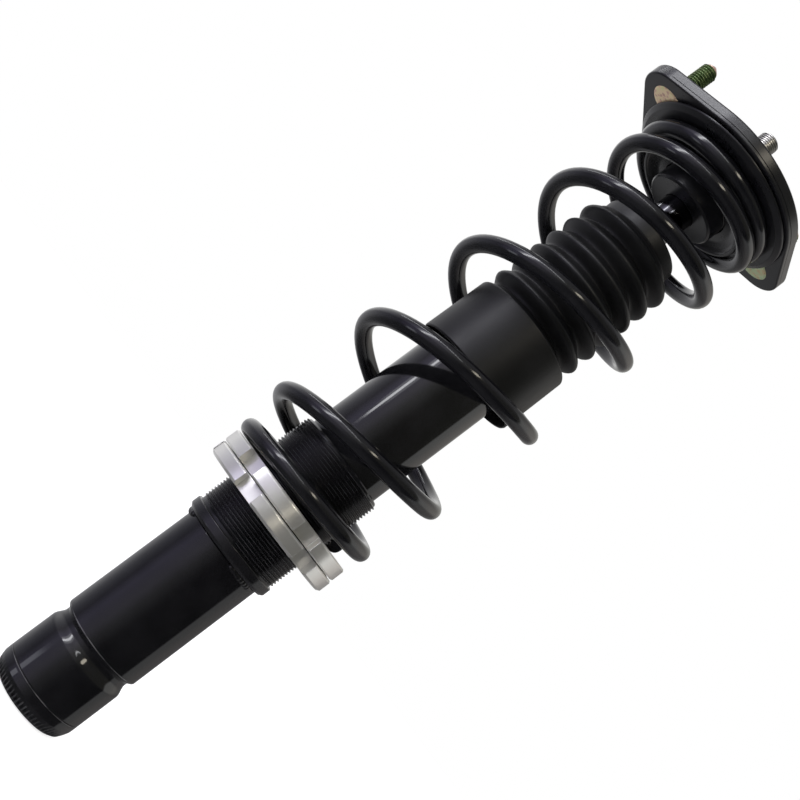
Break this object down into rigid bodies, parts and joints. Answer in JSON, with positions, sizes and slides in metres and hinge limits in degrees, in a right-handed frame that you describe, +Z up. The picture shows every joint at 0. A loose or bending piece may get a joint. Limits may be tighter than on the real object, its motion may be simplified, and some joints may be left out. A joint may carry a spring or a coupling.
{
  "type": "coilover strut",
  "caption": "Clamp-in suspension strut with a threaded body, paired spanner rings, barrel coil spring, dust boot and a studded two-lobe top mount.",
  "frame": {"origin": "centre of the strut tube's closed lower end", "axes": "+Z up the damper's axis towards the top mount; the flange's two lobes lie 18.6 degrees round from the X axis"},
  "size_m": [0.1302, 0.107, 0.4695],
  "materials": {
    "gloss_black_paint": "gloss black enamel",
    "sleeve_black": "satin black e-coat on a cut thread",
    "spring_black": "smooth black powder coat",
    "ring_aluminium": "bright turned, clear anodised",
    "steel_plain": "machined, lightly oiled",
    "sintered_iron": "sintered, matt",
    "bush_bronze": "sintered bronze",
    "slide_polymer": "filled PTFE",
    "seal_rubber": "matt",
    "rod_chrome": "hard chrome, ground and polished",
    "bump_foam": "cellular polyurethane, matt",
    "boot_polymer": "moulded thermoplastic elastomer, satin",
    "mount_black": "satin black paint",
    "mount_rubber": "moulded, satin",
    "bearing_steel": "ground and polished",
    "zinc_yellow": "yellow passivated zinc plate",
    "nut_zinc": "bright zinc plate"
  },
  "bodies": {
    "strut_body": {"strut_tube": "gloss_black_paint", "base_cap": "gloss_black_paint", "threaded_sleeve": "sleeve_black", "weld_beads": "gloss_black_paint", "pressure_tube": "steel_plain", "base_valve": "sintered_iron", "base_valve_shim": "steel_plain", "rod_guide": "sintered_iron", "guide_bush": "bush_bronze", "rod_seal": "seal_rubber", "gland_nut": "steel_plain"},
    "spring": {"coil_spring": "spring_black"},
    "seat_ring": {"seat_ring": "ring_aluminium"},
    "lock_ring": {"lock_ring": "ring_aluminium"},
    "perch": {"upper_perch": "mount_black", "bearing_lower_race": "bearing_steel"},
    "ball_set": {"ball_cage": "slide_polymer", "bearing_balls": "bearing_steel"},
    "mount": {"mount_plate": "mount_black", "mount_studs": "zinc_yellow", "mount_rubber": "mount_rubber", "mount_neck": "mount_black", "mount_sleeve": "steel_plain", "bearing_upper_race": "bearing_steel", "piston_rod": "rod_chrome", "rebound_stop": "steel_plain", "piston": "sintered_iron", "piston_band": "slide_polymer", "piston_shims": "steel_plain", "piston_nut": "nut_zinc", "bump_stop": "bump_foam", "dust_boot": "boot_polymer", "top_washer": "nut_zinc", "rod_nut": "nut_zinc"}
  },
  "joints": [
    {"name": "height_adjust", "type": "slide", "parent": "strut_body", "child": "spring", "axis": [0, 0, 1], "range_m": [-0.014, 0.0245]},
    {"name": "seat_ring_spin", "type": "hinge", "parent": "spring", "child": "seat_ring", "pos_m": [0, 0, 0.1511], "axis": [0, 0, 1], "range_deg": [-2881, 5041]},
    {"name": "lock_ring_release", "type": "hinge", "parent": "seat_ring", "child": "lock_ring", "pos_m": [0, 0, 0.1426], "axis": [0, 0, 1], "range_deg": [-60, 0]},
    {"name": "suspension_travel", "type": "slide", "parent": "spring", "child": "perch", "axis": [0, 0, 1], "range_m": [-0.05, 0], "stiffness_N_per_m": 40000, "springref_m": 0.002, "deforming": ["coil_spring"]},
    {"name": "bearing_roll", "type": "hinge", "parent": "perch", "child": "ball_set", "pos_m": [0, 0, 0.4215], "axis": [0, 0, 1], "continuous": true},
    {"name": "mount_swivel", "type": "hinge", "parent": "perch", "child": "mount", "pos_m": [0, 0, 0.4275], "axis": [0, 0, 1], "continuous": true}
  ],
  "couplings": [
    {"joint": "seat_ring_spin", "follows": "height_adjust", "rad_per_m": 3590.4},
    {"joint": "bearing_roll", "follows": "mount_swivel", "ratio": 0.5}
  ]
}
